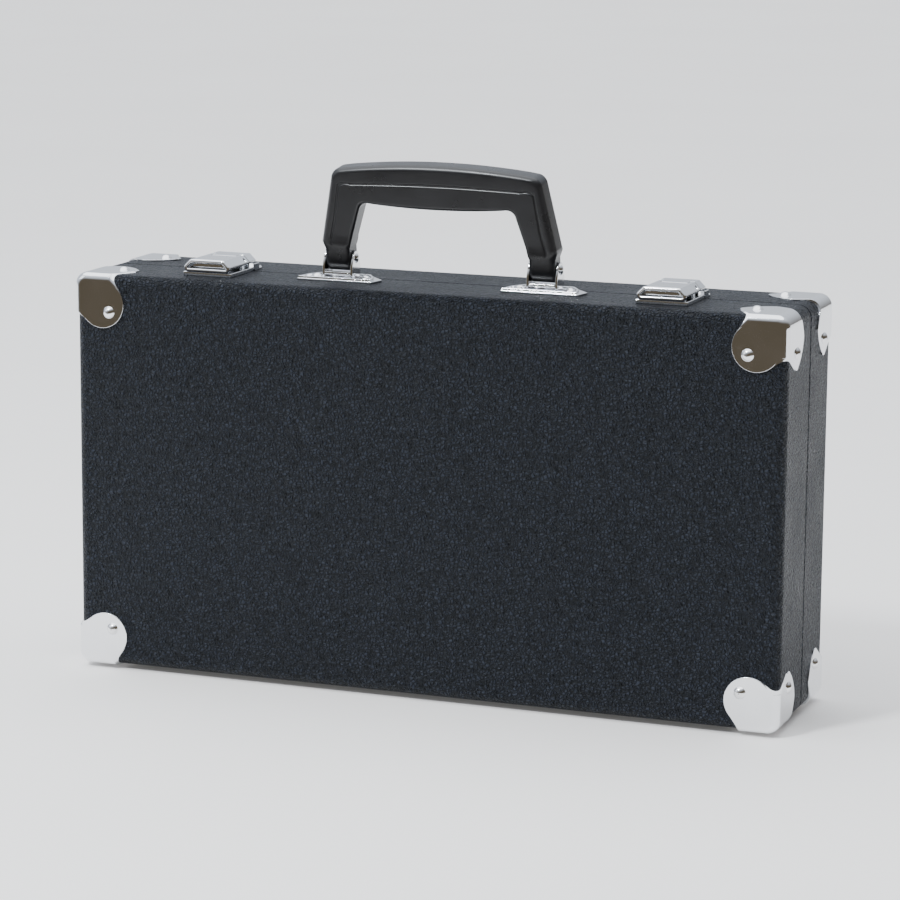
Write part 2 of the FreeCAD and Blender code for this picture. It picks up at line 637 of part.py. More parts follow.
def hinge_leaf(sx, side):
    """Flat leaf with its share of the knuckles."""
    pitch = 2 * HINGE_HALF / KNUCKLES
    x_left = sx * HINGE_X - HINGE_HALF
    y_far = SEAM + side * HINGE_LEAF
    y_near = SEAM + side * (KNUCKLE + 0.4)
    leaf = box(x_left, x_left + 2 * HINGE_HALF, min(y_far, y_near), max(y_far, y_near),
               HINGE_Z - HINGE_SHEET, HINGE_Z)
    pieces = [leaf]
    first = 0 if side < 0 else 1
    for index in range(first, KNUCKLES, 2):
        x0 = x_left + index * pitch + 0.15
        x1 = x0 + pitch - 0.3
        pieces.append(cyl(KNUCKLE, V(x0, SEAM, HINGE_Z), V(x1, SEAM, HINGE_Z)))
        inner = SEAM + side * (HINGE_PIN + 0.5)
        tab_far = SEAM + side * (KNUCKLE + 0.5)
        pieces.append(box(x0, x1, min(inner, tab_far), max(inner, tab_far), HINGE_Z - HINGE_SHEET, HINGE_Z))
    leaf = fuse(pieces)
    leaf = leaf.cut(cyl(HINGE_PIN + RUNNING, V(x_left - 1, SEAM, HINGE_Z),
                        V(x_left + 2 * HINGE_HALF + 1, SEAM, HINGE_Z)))
    return cut_all(leaf, [shank_hole(seat, V(0, 0, -1), HINGE_RIVET) for seat in hinge_rivet_places(sx, side)])


def hinge_parts():
    """Two hinges under the bottom seam, with the rivets of the base leaves and of the lid leaves."""
    groups = {-1: [], 1: []}
    for name, sx in (("left", -1), ("right", 1)):
        save("hinge_" + name + "_base_leaf", hinge_leaf(sx, -1))
        save("hinge_" + name + "_lid_leaf", hinge_leaf(sx, 1))
        start = V(sx * HINGE_X - HINGE_HALF, SEAM, HINGE_Z)
        save("hinge_" + name + "_pin", cyl(HINGE_PIN, start, start + V(2 * HINGE_HALF, 0, 0)))
        for side in groups:
            for seat in hinge_rivet_places(sx, side):
                groups[side].append(rivet(seat, V(0, 0, -1), HINGE_RIVET))
    save("hinge_rivets_base", Part.makeCompound(groups[-1]))
    save("hinge_rivets_lid", Part.makeCompound(groups[1]))


def hinge_rivet_holes(side):
    seats = hinge_rivet_places(-1, side) + hinge_rivet_places(1, side)
    return [shank_hole(seat, V(0, 0, -1), HINGE_RIVET) for seat in seats]


# ---- build --------------------------------------------------------------------------------
def main():
    os.makedirs("parts", exist_ok=True)
    base_holes = [shank_hole(*place, CORNER_RIVET) for place in corner_rivet_places(FRONT, 1)]
    base_holes += handle_rivet_holes() + latch_rivet_holes(LATCH_RIVETS, LATCH_RIVET) + hinge_rivet_holes(-1)
    lid_holes = [shank_hole(*place, CORNER_RIVET) for place in corner_rivet_places(BACK, -1)]
    lid_holes += latch_rivet_holes(KEEPER_RIVETS, KEEPER_RIVET) + hinge_rivet_holes(1)
    shell_parts("base", FRONT, BASE_RIM, base_holes)
    shell_parts("lid", BACK, LID_RIM, lid_holes)
    linings()
    corner_parts()
    handle_parts()
    latch_parts()
    hinge_parts()


main()
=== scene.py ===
"""Looks of the effects pedal carrying case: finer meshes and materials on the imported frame."""
import bmesh
import bpy
import json
import math
from mathutils import Matrix, Vector, geometry, noise

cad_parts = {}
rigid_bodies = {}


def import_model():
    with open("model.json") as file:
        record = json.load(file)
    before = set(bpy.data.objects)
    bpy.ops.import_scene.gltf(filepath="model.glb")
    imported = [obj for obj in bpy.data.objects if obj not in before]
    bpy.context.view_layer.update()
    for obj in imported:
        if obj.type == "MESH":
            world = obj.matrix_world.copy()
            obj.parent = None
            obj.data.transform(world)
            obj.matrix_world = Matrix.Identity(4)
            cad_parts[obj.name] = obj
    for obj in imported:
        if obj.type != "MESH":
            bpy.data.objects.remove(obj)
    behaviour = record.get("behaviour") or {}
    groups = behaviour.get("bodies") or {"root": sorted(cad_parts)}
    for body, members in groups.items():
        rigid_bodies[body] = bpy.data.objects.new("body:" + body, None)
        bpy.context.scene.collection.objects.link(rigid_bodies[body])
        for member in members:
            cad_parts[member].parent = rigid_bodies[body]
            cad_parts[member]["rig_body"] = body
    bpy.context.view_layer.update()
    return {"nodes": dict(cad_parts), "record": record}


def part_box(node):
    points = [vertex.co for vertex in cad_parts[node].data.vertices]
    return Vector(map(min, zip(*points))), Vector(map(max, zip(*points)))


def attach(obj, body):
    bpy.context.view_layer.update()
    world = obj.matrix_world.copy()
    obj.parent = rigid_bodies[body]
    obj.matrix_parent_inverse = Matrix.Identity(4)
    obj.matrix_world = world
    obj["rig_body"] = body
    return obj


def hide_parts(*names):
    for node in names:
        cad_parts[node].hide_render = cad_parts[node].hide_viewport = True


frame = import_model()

NODES = frame["nodes"]
MM = 0.001

# ---- driving values, in millimetres -------------------------------------------------------
SHEET = 0.9                 # thickness of the corner plates
EDGE_SOFT = 0.3             # rounding of cut metal edges
EDGE_STEPS = 3              # flats in that rounding

CORNER_BEND = 3.6           # inside radius over the edge of the big face
CORNER_WRAP = 7.0           # inside radius round the corner of the case
BRIDGE = 23.7               # square part of a corner plate, from the corner
LOBE_CENTRE = (18.0, 18.2)
LOBE_RADIUS = 14.6
LEAF_START = 11.0           # from here a leaf narrows to its tip
LEAF_TIP = 33.5
LEAF_MIDDLE = 19.5
LEAF_HALF = 14.5
TIP_RADIUS = 1.2
NECK_START = 1.4            # the neck between two leaves: where it starts and ends, and its depth
NECK_END = 16.0
NECK_DEPTH = 28.0
RIM_STEP = 0.9              # spacing of points along the rim of a plate
BRIDGE_STEP = 0.8           # the same along the bridge
BEND_STEP = 0.62            # the same over the bend
LOBE_STEPS = 40
TIP_STEPS = 8
INSIDE_MARGIN = 0.7         # strip between the rim and the points inside it

# The grip, in the plane of its outline: distance from the middle, height above the case top.
GRIP_PIVOT = 65.4           # half the distance between the handle's two pivots
GRIP_RISE = 13.5            # height of the pivots
GRIP_TAB = 8.0              # half the width of the ends that hold the pins
GRIP_TAB_RADIUS = 7.6
GRIP_HALF = 8.0             # half the thickness of the grip
GRIP_LEAN = 8.0             # degrees that the handle rests away from upright
GRIP_FOOT = 20.6            # height where a leg widens from its tab
GRIP_HIP = (75.0, 25.0)     # widest point of a leg
GRIP_WAIST = (74.6, 27.0)   # where the groove is at its full depth
GRIP_CORNER = (66.0, 70.0)
GRIP_CORNER_RADIUS = 6.5
GRIP_CROWN = 74.5           # height of the top in the middle
GRIP_CROTCH = (48.5, 50.0)
GRIP_CROTCH_RADIUS = 5.5
GRIP_BELLY = 47.5           # height of the underside in the middle
GROOVE_LEG = 6.0            # distance of the groove from the outer edge at the foot of a leg,
GROOVE_SHOULDER = 6.8       # at the top of a leg
GROOVE_TOP = 11.6           # and along the top
GROOVE_DEPTH = 1.0
PANEL_DEPTH = 0.45          # how far the panel inside the groove is sunk
OUTER_ROUNDING = 3.6
INNER_ROUNDING = 2.4

LIP_BEAD = 1.35             # radius of the rolled front edge of a latch lever
LIP_SIDES = 16
LIP_SHOULDER = (4.3, 3.6)   # how far the bevelled side of a lever reaches in and down
LIP_INSET = 0.7             # bead to the side of the lever, at the shoulder
LIP_FOOT_INSET = 1.4        # and at its foot
MOUTH_DEPTH = 3.0           # front of the sheet that closes the lever, behind the bead
MOUTH_SHEET = 0.8

FOAM_PITCH = 26.0
FOAM_RELIEF = 4.5
PILE_RELIEF = 0.35
PILE_PATCHES = 45.0         # patches of worn pile per metre

# The camera, in metres, degrees and millimetres of lens: where it stands, and how it is turned.
CAMERA_PLACE = (0.72914, -1.91844, 0.5424)
CAMERA_YAW = 20.753
CAMERA_PITCH = 10.948
CAMERA_ROLL = 0.42
CAMERA_LENS = 137.57

# The floor, in metres. The room in front of its edge is dark, and the upper corner plates mirror it.
FLOOR_FRONT = -0.62
FLOOR_FAR = 14.0
FLOOR_HALF = 9.0
FLOOR_EDGE = 0.05
FLOOR_DROP = 0.3
ROOM_LOW = (0.125, 0.104, 0.074, 1.0)
ROOM_HIGH = (1.02, 1.09, 1.20, 1.0)


# ---- materials ----------------------------------------------------------------------------
class Shader:
    """A node material under construction, with short ways to add nodes and join them."""

    def __init__(self, name):
        self.material = bpy.data.materials.new(name)
        self.material.use_nodes = True
        self.tree = self.material.node_tree
        self.surface = self.tree.nodes["Principled BSDF"]
        self.where = self.add("ShaderNodeTexCoord").outputs["Object"]

    def add(self, kind, values=None, **settings):
        node = self.tree.nodes.new(kind)
        for key, value in settings.items():
            setattr(node, key, value)
        for key, value in (values or {}).items():
            self.put(node.inputs[key], value)
        return node

    def put(self, socket, value):
        if isinstance(value, bpy.types.NodeSocket):
            self.tree.links.new(value, socket)
        else:
            socket.default_value = value

    def set(self, **values):
        """Sets inputs of the surface; an underscore stands for the space in an input's name."""
        for key, value in values.items():
            self.put(self.surface.inputs[key.replace("_", " ")], value)

    def noise(self, scale, detail=3.0, rough=0.5, where=None):
        node = self.add("ShaderNodeTexNoise", {"Scale": scale, "Detail": detail, "Roughness": rough})
        self.put(node.inputs["Vector"], where or self.where)
        return node.outputs["Fac"]

    def cells(self, scale, where, feature="F1"):
        node = self.add("ShaderNodeTexVoronoi", {"Scale": scale}, feature=feature)
        self.put(node.inputs["Vector"], where)
        return node.outputs["Distance"]

    def maths(self, operation, a, b):
        node = self.add("ShaderNodeMath", operation=operation)
        self.put(node.inputs[0], a)
        self.put(node.inputs[1], b)
        return node.outputs[0]

    def spread(self, value, low, high, to_low=0.0, to_high=1.0):
        """value from low..high to to_low..to_high, easing in and out."""
        node = self.add("ShaderNodeMapRange", {"From Min": low, "From Max": high,
                                               "To Min": to_low, "To Max": to_high})
        node.interpolation_type = "SMOOTHSTEP"
        self.put(node.inputs["Value"], value)
        return node.outputs["Result"]

    def mix(self, factor, a, b):
        node = self.add("ShaderNodeMix", data_type="RGBA")
        self.put(node.inputs[0], factor)
        self.put(node.inputs[6], (*a, 1.0) if isinstance(a, tuple) else a)
        self.put(node.inputs[7], (*b, 1.0) if isinstance(b, tuple) else b)
        return node.outputs[2]

    def warp(self, scale, amount):
        """Position moved about by a noise, so that patterns lose their straight lines."""
        node = self.add("ShaderNodeTexNoise", {"Scale": scale, "Detail": 2.0})
        self.put(node.inputs["Vector"], self.where)
        shift = self.add("ShaderNodeVectorMath", operation="MULTIPLY_ADD")
        self.put(shift.inputs[0], node.outputs["Color"])
        shift.inputs[1].default_value = (amount,) * 3
        self.put(shift.inputs[2], self.where)
        return shift.outputs[0]

    def stretch(self, where, scale, turn=(0.0, 0.0, 0.0)):
        """Position scaled along each axis, so that a pattern is drawn out."""
        node = self.add("ShaderNodeMapping", {"Vector": where, "Rotation": turn, "Scale": scale})
        return node.outputs["Vector"]

    def bump(self, height, distance, strength=1.0):
        node = self.add("ShaderNodeBump", {"Height": height, "Distance": distance, "Strength": strength})
        return node.outputs["Normal"]


def leatherette():
    """Black embossed vinyl: wrinkled pebbles about two millimetres across, with painted shade in the
    hollows of the grain.
    """
    s = Shader("black_leatherette")
    bent = s.warp(300.0, 0.0026)
    pebbles = s.spread(s.cells(470.0, bent, "DISTANCE_TO_EDGE"), 0.0, 0.34)
    small = s.noise(1900.0, 2.0)
    swell = s.noise(400.0, 2.5, 0.55, s.stretch(bent, (0.75, 1.0, 1.25), (0.0, 0.5, 0.3)))
    height = s.maths("ADD", s.maths("MULTIPLY", pebbles, 0.8), s.maths("MULTIPLY", swell, 1.5))
    height = s.maths("ADD", height, s.maths("MULTIPLY", small, 0.2))
    cloud = s.noise(14.0, 3.0, 0.55)
    colour = s.mix(cloud, (0.0170, 0.0205, 0.0310), (0.0250, 0.0305, 0.0450))
    # painted shade: the low parts of the swell and the cracks between pebbles, low in the bump too, are
    # darkened towards black
    colour = s.mix(s.spread(swell, 0.34, 0.62), (0.0012, 0.0014, 0.0020), colour)
    colour = s.mix(s.spread(pebbles, 0.0, 0.5), (0.002, 0.0025, 0.004), colour)
    rough = s.maths("ADD", s.spread(cloud, 0.3, 0.7, 0.34, 0.42), s.maths("MULTIPLY", small, 0.08))
    s.set(Base_Color=colour, Roughness=rough, Normal=s.bump(height, 0.0016, 1.0))
    s.surface.inputs["Specular IOR Level"].default_value = 0.24
    s.surface.inputs["Specular Tint"].default_value = (0.86, 0.92, 1.0, 1.0)
    return s.material


def moulded(name, dark, light, rough_low, rough_high, grain):
    """Moulded plastic with a fine spark-eroded texture."""
    s = Shader(name)
    cloud = s.noise(60.0, 3.0)
    fine = s.noise(grain, 2.0, 0.6)
    s.set(Base_Color=s.mix(cloud, dark, light), Roughness=s.spread(cloud, 0.3, 0.7, rough_low, rough_high),
          Normal=s.bump(fine, 0.00006, 0.6))
    return s.material


def plated(name, dark, light, rough_low, rough_high, ripple):
    """Bright plating with faint polishing marks and slight waves in the pressed sheet."""
    s = Shader(name)
    cloud = s.noise(90.0, 3.0, 0.6)
    scratches = s.noise(5200.0, 2.0, 0.7, s.stretch(s.where, (1.0, 0.18, 1.0)))
    rough = s.maths("ADD", s.spread(cloud, 0.3, 0.75, rough_low, rough_high),
                    s.spread(scratches, 0.62, 0.8, 0.0, 0.06))
    waves = s.noise(130.0, 1.0, 0.4)
    s.set(Base_Color=s.mix(cloud, dark, light), Metallic=1.0, Roughness=rough,
          Normal=s.bump(waves, ripple, 1.0))
    return s.material


def carpet():
    """Loop pile: small loops side by side, with painted shade between them."""
    s = Shader("loop_carpet")
    bent = s.warp(300.0, 0.001)
    loops = s.cells(620.0, bent)
    hairs = s.noise(3600.0, 2.0, 0.7)
    top = s.spread(loops, 0.0, 0.55, 1.0, 0.0)
    # painted shade: top is 1 on a loop and 0 between loops, and the colour goes dark between them
    colour = s.mix(top, (0.008, 0.008, 0.009), (0.034, 0.034, 0.037))
    colour = s.mix(s.spread(hairs, 0.55, 0.8, 0.0, 0.35), colour, (0.09, 0.09, 0.095))
    height = s.maths("ADD", top, s.maths("MULTIPLY", hairs, 0.3))
    s.set(Base_Color=colour, Roughness=0.95, Normal=s.bump(height, 0.0012, 1.0))
    s.surface.inputs["Sheen Weight"].default_value = 0.25
    return s.material


def foam():
    """Open-cell foam: dark grey, with painted shade in its fine pores."""
    s = Shader("foam")
    pores = s.spread(s.cells(1500.0, s.warp(500.0, 0.0006)), 0.1, 0.5)
    cloud = s.noise(40.0, 3.0)
    colour = s.mix(cloud, (0.020, 0.020, 0.022), (0.030, 0.030, 0.033))
    # painted shade: the pores, low in the bump, are darker than the cell walls between them
    colour = s.mix(pores, colour, (0.040, 0.040, 0.043))
    s.set(Base_Color=colour, Roughness=0.92, Normal=s.bump(pores, 0.0004, 0.8))
    s.surface.inputs["Sheen Weight"].default_value = 0.15
    return s.material


def lining():
    """Brushed black lining cloth with a short nap."""
    s = Shader("black_lining")
    nap = s.noise(2600.0, 3.0, 0.7)
    patch = s.noise(70.0, 4.0, 0.6)
    colour = s.mix(s.spread(patch, 0.35, 0.65), (0.011, 0.011, 0.012), (0.020, 0.020, 0.022))
    s.set(Base_Color=colour, Roughness=0.9, Normal=s.bump(nap, 0.0003, 0.7))
    s.surface.inputs["Sheen Weight"].default_value = 0.4
    return s.material


def plywood():
    """Birch plywood: long grain on the faces."""
    s = Shader("plywood")
    grain = s.noise(700.0, 4.0, 0.6, s.stretch(s.where, (0.06, 1.0, 1.0)))
    cloud = s.noise(25.0, 3.0)
    colour = s.mix(grain, (0.36, 0.25, 0.15), (0.62, 0.49, 0.33))
    colour = s.mix(s.maths("MULTIPLY", cloud, 0.3), colour, (0.45, 0.33, 0.20))
    s.set(Base_Color=colour, Roughness=0.6, Normal=s.bump(grain, 0.0001, 0.5))
    return s.material


def painted_floor():
    """Pale matt floor, slightly uneven in tone, with a faint glow of its own."""
    s = Shader("ground")
    shade = s.mix(s.noise(2.2, 3.0, 0.6), (0.8649, 0.85095, 0.837), (0.93, 0.915, 0.90))
    s.set(Base_Color=shade, Roughness=0.9, Emission_Color=shade, Emission_Strength=0.1)
    return s.material


MATERIALS = {
    "black_leatherette": leatherette(),
    "plywood": plywood(),
    "loop_carpet": carpet(),
    "black_lining": lining(),
    "foam": foam(),
    "lip_plastic": moulded("lip_plastic", (0.010, 0.010, 0.011), (0.016, 0.016, 0.018), 0.4, 0.5, 2400.0),
    "black_plastic": moulded("black_plastic", (0.009, 0.009, 0.010), (0.013, 0.013, 0.015),
                             0.27, 0.34, 2600.0),
    "chrome_plate": plated("chrome_plate", (0.80, 0.81, 0.83), (0.88, 0.89, 0.91), 0.07, 0.13, 0.00002),
    "rivet_chrome": plated("rivet_chrome", (0.80, 0.80, 0.81), (0.88, 0.88, 0.89), 0.10, 0.17, 0.00001),
    "nickel": plated("nickel", (0.62, 0.59, 0.54), (0.70, 0.67, 0.62), 0.20, 0.30, 0.00002),
    "steel": plated("steel", (0.50, 0.50, 0.51), (0.60, 0.60, 0.61), 0.28, 0.38, 0.00002),
}


# ---- helpers ------------------------------------------------------------------------------
def linked(name, data):
    """A new object in the scene."""
    obj = bpy.data.objects.new(name, data)
    bpy.context.scene.collection.objects.link(obj)
    return obj


def wear(obj, material):
    """Makes a material the only one of an object."""
    obj.data.materials.clear()
    obj.data.materials.append(material)


def dress(obj, slot, body, node):
    """Gives a new piece the material of its slot and the body that it rides on, and hides the node that it
    stands for.
    """
    wear(obj, MATERIALS[slot])
    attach(obj, body)
    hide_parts(node)


def smooth_mesh(name, verts, faces):
    """Closed mesh with smooth faces that look outwards, from points in metres."""
    mesh = bpy.data.meshes.new(name)
    mesh.from_pydata(verts, [], faces)
    work = bmesh.new()
    work.from_mesh(mesh)
    bmesh.ops.recalc_face_normals(work, faces=work.faces)
    work.to_mesh(mesh)
    work.free()
    mesh.polygons.foreach_set("use_smooth", [True] * len(mesh.polygons))
    return mesh


def steps(start, end, size):
    """Evenly spaced values from start to end, both included, at most size apart."""
    count = max(1, math.ceil(abs(end - start) / size))
    return [start + (end - start) * k / count for k in range(count + 1)]


def arc_points(start, corner, end, radius, count):
    """Arc that rounds a corner between two straight runs, as 2-D points."""
    a = (Vector(start) - Vector(corner)).normalized()
    b = (Vector(end) - Vector(corner)).normalized()
    half = a.angle(b) / 2
    centre = Vector(corner) + (a + b).normalized() * radius / math.sin(half)
    first = Vector(corner) + a * radius / math.tan(half) - centre
    last = Vector(corner) + b * radius / math.tan(half) - centre
    turn = first.angle_signed(last)
    return [centre + Matrix.Rotation(-turn * k / count, 2) @ first for k in range(count + 1)]


# ---- pieces taken over from the frame -----------------------------------------------------
# CAD nodes start out as they are and only take a material; some are replaced further down.
for part in frame["record"]["subparts"]:
    wear(NODES[part["node"]], MATERIALS[part["material_slot"]])


# ---- skins with stated normals ------------------------------------------------------------
class Skin:
    """Points and faces, each face corner with its own normal, in millimetres."""

    def __init__(self):
        self.points = []
        self.faces = []
        self.normals = []

    def point(self, place):
        self.points.append(Vector(place))
        return len(self.points) - 1

    def face(self, corners):
        """Adds a face; corners are (index, normal) pairs in order."""
        self.faces.append([index for index, normal in corners])
        self.normals.append([normal for index, normal in corners])

    def build(self, name, origin=(0, 0, 0), signs=(1, 1, 1)):
        """Mesh object at origin, mirrored along the axes whose sign is -1."""
        turn = Matrix.Diagonal(signs)
        flip = signs[0] * signs[1] * signs[2] < 0
        mesh = bpy.data.meshes.new(name)
        verts = [(Vector(origin) + turn @ point) * MM for point in self.points]
        faces = [face[::-1] if flip else face for face in self.faces]
        mesh.from_pydata(verts, [], faces)
        mesh.polygons.foreach_set("use_smooth", [True] * len(faces))
        normals = [turn @ normal for row in self.normals for normal in (row[::-1] if flip else row)]
        mesh.normals_split_custom_set([normal.normalized() for normal in normals])
        return linked(name, mesh)


# ---- corner plates ------------------------------------------------------------------------
WRAP_RADIUS = CORNER_WRAP + SHEET
BEND_RADIUS = CORNER_BEND + SHEET
HALF_WRAP = WRAP_RADIUS * math.pi / 4


def border(run):
    """Place and outward normal in X-Z, run millimetres along the outside from the middle of the corner."""
    side = 1 if run >= 0 else -1
    run = abs(run)
    if run > HALF_WRAP:
        place = Vector((CORNER_WRAP + run - HALF_WRAP, -SHEET))
        normal = Vector((0.0, -1.0))
    else:
        angle = math.pi / 4 - run / WRAP_RADIUS
        normal = Vector((-math.sin(angle), -math.cos(angle)))
        place = Vector((CORNER_WRAP, CORNER_WRAP)) + normal * WRAP_RADIUS
    if side < 0:
        return place.yx, normal.yx
    return place, normal


def on_wall(run, depth):
    """Outer surface at a depth behind the big face; under CORNER_BEND it turns onto that face."""
    place, normal = border(run)
    angle = max(0.0, (CORNER_BEND - depth) / BEND_RADIUS)
    back = BEND_RADIUS * (1 - math.cos(angle))
    y = depth if angle == 0.0 else CORNER_BEND - BEND_RADIUS * math.sin(angle)
    flat = place - normal * back
    facing = Vector((normal.x * math.cos(angle), -math.sin(angle), normal.y * math.cos(angle)))
    return Vector((flat.x, y, flat.y)), facing


def on_face(x, z):
    """Place and normal on the flat part over the big face."""
    return Vector((x, -SHEET, z)), Vector((0.0, -1.0, 0.0))


FACE_DEPTH = CORNER_BEND - BEND_RADIUS * math.pi / 2


def leaf_side(along, sign):
    """Depth of a leaf's curved side at a distance along from the corner."""
    run = LEAF_TIP - LEAF_START
    radius = (run ** 2 + LEAF_HALF ** 2) / (2 * LEAF_HALF)
    return LEAF_MIDDLE + sign * (math.sqrt(radius ** 2 - (along - LEAF_START) ** 2) - radius + LEAF_HALF)


def plate_outline():
    """Rim of the plate on its outer surface: (place, normal) pairs in order."""
    cx, cz = LOBE_CENTRE
    meet_z = cz - math.sqrt(LOBE_RADIUS ** 2 - (BRIDGE - cx) ** 2)
    meet_x = cx - math.sqrt(LOBE_RADIUS ** 2 - (BRIDGE - cz) ** 2)
    back = LEAF_TIP - TIP_RADIUS
    tip_half = leaf_side(back, 1) - LEAF_MIDDLE
    shift = HALF_WRAP - CORNER_WRAP

    def half(sign, meet):
        """One leaf, from the lobe over the bend, round the leaf and down the neck."""
        rows = []
        bridge_run = BRIDGE + shift
        for height in steps(meet, CORNER_BEND + BRIDGE_STEP / 2, BRIDGE_STEP):
            rows.append(on_face(BRIDGE, height) if sign > 0 else on_face(height, BRIDGE))
        for depth in steps(FACE_DEPTH, CORNER_BEND, BEND_STEP):
            rows.append(on_wall(sign * bridge_run, depth))
        for depth in steps(CORNER_BEND + BRIDGE_STEP, leaf_side(BRIDGE, -1), RIM_STEP):
            rows.append(on_wall(sign * bridge_run, depth))
        for along in steps(BRIDGE + BRIDGE_STEP, back, RIM_STEP):
            rows.append(on_wall(sign * (along + shift), leaf_side(along, -1)))
        for k in range(1, TIP_STEPS):
            angle = math.pi / 2 - k * math.pi / TIP_STEPS
            along = back + TIP_RADIUS * math.cos(angle)
            rows.append(on_wall(sign * (along + shift), LEAF_MIDDLE - tip_half * math.sin(angle)))
        for along in steps(back, NECK_END, RIM_STEP):
            rows.append(on_wall(sign * (along + shift), leaf_side(along, 1)))
        for run in steps(NECK_END + shift - RIM_STEP, 0.0, RIM_STEP):
            t = (border(run)[0].x - NECK_START) / (NECK_END - NECK_START)
            ease = t * t * (3 - 2 * t)
            depth = NECK_DEPTH + (leaf_side(NECK_END, 1) - NECK_DEPTH) * ease
            rows.append(on_wall(sign * run, depth))
        return rows

    first = half(1, meet_z)
    second = half(-1, meet_x)[::-1][1:]
    start = math.atan2(BRIDGE - cz, meet_x - cx)
    end = math.atan2(meet_z - cz, BRIDGE - cx)
    arc = [start - (start - end) * k / LOBE_STEPS for k in range(1, LOBE_STEPS)]
    lobe = [on_face(cx + LOBE_RADIUS * math.cos(a), cz + LOBE_RADIUS * math.sin(a)) for a in arc]
    return first + second + lobe


def plate_inside():
    """Points inside the rim where the sheet curves, and the pairs of them that edges join."""
    grid = {}
    runs = [round(run, 3) for run in steps(-HALF_WRAP, HALF_WRAP, 1.0)]
    outer = BRIDGE + HALF_WRAP - CORNER_WRAP - INSIDE_MARGIN
    flats = steps(HALF_WRAP, outer, 2.2)[1:]
    for i, run in enumerate([-r for r in flats[::-1]] + runs + flats):
        for j, depth in enumerate(steps(FACE_DEPTH, CORNER_BEND, 0.55)):
            grid[("bend", i, j)] = on_wall(run, depth)
    for i, run in enumerate(runs):
        for j, depth in enumerate(steps(CORNER_BEND, NECK_DEPTH - INSIDE_MARGIN, 3.0)[1:]):
            grid[("wall", i, j)] = on_wall(run, depth)
    lines = []
    for (kind, i, j) in grid:
        for other in ((kind, i + 1, j), (kind, i, j + 1)):
            if other in grid:
                lines.append(((kind, i, j), other))
    return grid, lines


def outward_directions(rim):
    """Directions in the sheet, away from the plate, at each point of its rim."""
    outward = []
    for k, (place, normal) in enumerate(rim):
        along = rim[(k + 1) % len(rim)][0] - rim[k - 1][0]
        outward.append(along.cross(normal).normalized())
    lobe = len(rim) - LOBE_STEPS // 2
    if outward[lobe].dot(rim[lobe][0] - on_face(*LOBE_CENTRE)[0]) < 0:
        outward = [-across for across in outward]
    return outward


def corner_skin():
    """The pressed plate with its corner at the origin and the case towards +X, +Y and +Z."""
    rim = plate_outline()
    count = len(rim)
    axis_a = Vector((1, -1, 0)).normalized()
    axis_b = Vector((1, 1, 1)).normalized().cross(axis_a)

    def flat(place):
        """Seen from outside the corner, along its diagonal, no part of the plate hides another."""
        return Vector((place.dot(axis_a), place.dot(axis_b)))

    # The rim: a rounded edge in a few flats, then the cut through the sheet.
    skin = Skin()
    rings = []
    for (place, normal), out in zip(rim, outward_directions(rim)):
        ring = []
        for step in range(EDGE_STEPS + 1):
            angle = step * math.pi / (2 * EDGE_STEPS)
            spot = place - out * EDGE_SOFT * (1 - math.sin(angle))
            spot -= normal * EDGE_SOFT * (1 - math.cos(angle))
            ring.append((skin.point(spot), normal * math.cos(angle) + out * math.sin(angle)))
        ring.append((skin.point(place - normal * SHEET), out))
        rings.append(ring)
    area = sum(flat(rim[k][0]).cross(flat(rim[(k + 1) % count][0])) for k in range(count))
    for k in range(count):
        a, b = rings[k], rings[(k + 1) % count]
        for step in range(EDGE_STEPS + 1):
            corners = [a[step], b[step], b[step + 1], a[step + 1]]
            skin.face(corners if area > 0 else corners[::-1])

    # Both sides of the sheet, from one triangulation of the flattened plate.
    grid, lines = plate_inside()
    keys = list(grid)
    flats = [flat(skin.points[ring[0][0]]) for ring in rings] + [flat(grid[key][0]) for key in keys]
    number = {key: count + i for i, key in enumerate(keys)}
    edges = [(k, (k + 1) % count) for k in range(count)] + [(number[a], number[b]) for a, b in lines]
    found = geometry.delaunay_2d_cdt(flats, edges, [list(range(count))], 1, 0.0001, True)
    origin = [ids[0] for ids in found[3]]
    top = [ring[0] for ring in rings]
    under = [(ring[-1][0], -normal) for ring, (place, normal) in zip(rings, rim)]
    for key in keys:
        place, normal = grid[key]
        top.append((skin.point(place), normal))
        under.append((skin.point(place - normal * SHEET), -normal))
    for tri in found[2]:
        ids = [origin[v] for v in tri]
        a, b, c = (top[i] for i in ids)
        facing = (skin.points[b[0]] - skin.points[a[0]]).cross(skin.points[c[0]] - skin.points[a[0]])
        if facing.dot(a[1] + b[1] + c[1]) < 0:
            ids = ids[::-1]
        skin.face([top[i] for i in ids])
        skin.face([under[i] for i in ids[::-1]])
    return skin


def make_corners():
    """Eight corner plates, all the same skin, mirrored into their corners."""
    skin = corner_skin()
    low, high = (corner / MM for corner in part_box("base_covering"))
    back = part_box("lid_covering")[1].y / MM
    for shell, y, sy in (("base", low.y, 1), ("lid", back, -1)):
        for height, z, sz in (("bottom", low.z, 1), ("top", high.z, -1)):
            for side, x, sx in (("left", low.x, 1), ("right", high.x, -1)):
                node = "corner_" + shell + "_" + height + "_" + side
                obj = skin.build(node + "_plate", (x, y, z), (sx, sy, sz))
                dress(obj, "chrome_plate", shell, node)


# ---- handle grip --------------------------------------------------------------------------
def bow(x, side_x, side_z, middle_z):
    """Height at x of the shallow arc through (-side_x, side_z), (0, middle_z) and (side_x, side_z)."""
    rise = middle_z - side_z
    radius = (side_x ** 2 + rise ** 2) / (2 * abs(rise))
    return middle_z - math.copysign(radius - math.sqrt(radius ** 2 - x ** 2), rise)


